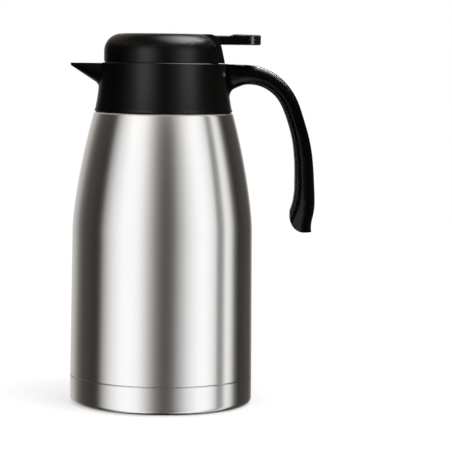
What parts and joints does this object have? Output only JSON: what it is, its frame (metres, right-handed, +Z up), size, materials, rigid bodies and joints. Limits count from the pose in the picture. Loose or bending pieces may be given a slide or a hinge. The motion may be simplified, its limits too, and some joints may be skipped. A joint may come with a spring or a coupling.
{
  "type": "insulated serving carafe",
  "caption": "Double-walled steel serving carafe with a black collar, pouring spout, hook handle and a screw-in lid whose thumb lever opens the valve.",
  "frame": {"origin": "centre of the base's flat underside, on the ground, on the bottle's axis", "axes": "+Z up along the bottle's axis, the spout points along -X and the handle along +X"},
  "size_m": [0.1887, 0.1408, 0.2846],
  "materials": {
    "brushed_steel": "fine brushed, satin",
    "plain_steel": "plain drawn",
    "black_plastic": "satin moulded",
    "silicone": "soft matt",
    "sealing_glass": "glossy bead",
    "getter_metal": "sintered"
  },
  "bodies": {
    "bottle": {"base_cup": "brushed_steel", "outer_shell": "brushed_steel", "inner_flask": "plain_steel", "vacuum_bottom": "plain_steel", "seal_plug": "sealing_glass", "getter": "getter_metal", "neck_nut": "black_plastic", "mouth_gasket": "silicone", "collar": "black_plastic", "handle_shell": "black_plastic", "handle_cover": "black_plastic", "handle_screws": "plain_steel"},
    "lid_ring": {"stopper_gasket": "silicone"},
    "lid": {"stopper_body": "black_plastic", "lid_dome": "black_plastic", "lever_pin": "plain_steel", "valve_spring": "plain_steel"},
    "lever": {"lever": "black_plastic"},
    "valve": {"valve_stem": "plain_steel", "stem_oring": "silicone", "valve_disc": "black_plastic", "valve_seal": "silicone", "valve_nut": "plain_steel", "stem_cap": "black_plastic"}
  },
  "joints": [
    {"name": "lid_lift", "type": "slide", "parent": "bottle", "child": "lid_ring", "axis": [0, 0, 1], "range_m": [0, 0.065]},
    {"name": "lid_turn", "type": "hinge", "parent": "lid_ring", "child": "lid", "pos_m": [0, 0, 0.245], "axis": [0, 0, 1], "range_deg": [0, 270]},
    {"name": "lever_press", "type": "hinge", "parent": "lid", "child": "lever", "pos_m": [-0.028, 0, 0.278], "axis": [0, 1, 0], "range_deg": [0, 7], "stiffness_Nm_per_rad": 1, "springref_deg": -11.46},
    {"name": "valve_open", "type": "slide", "parent": "lid", "child": "valve", "axis": [0, 0, -1], "range_m": [0, 0.0035], "deforming": ["valve_spring"]}
  ],
  "couplings": [
    {"joint": "valve_open", "follows": "lever_press", "m_per_rad": 0.028}
  ]
}
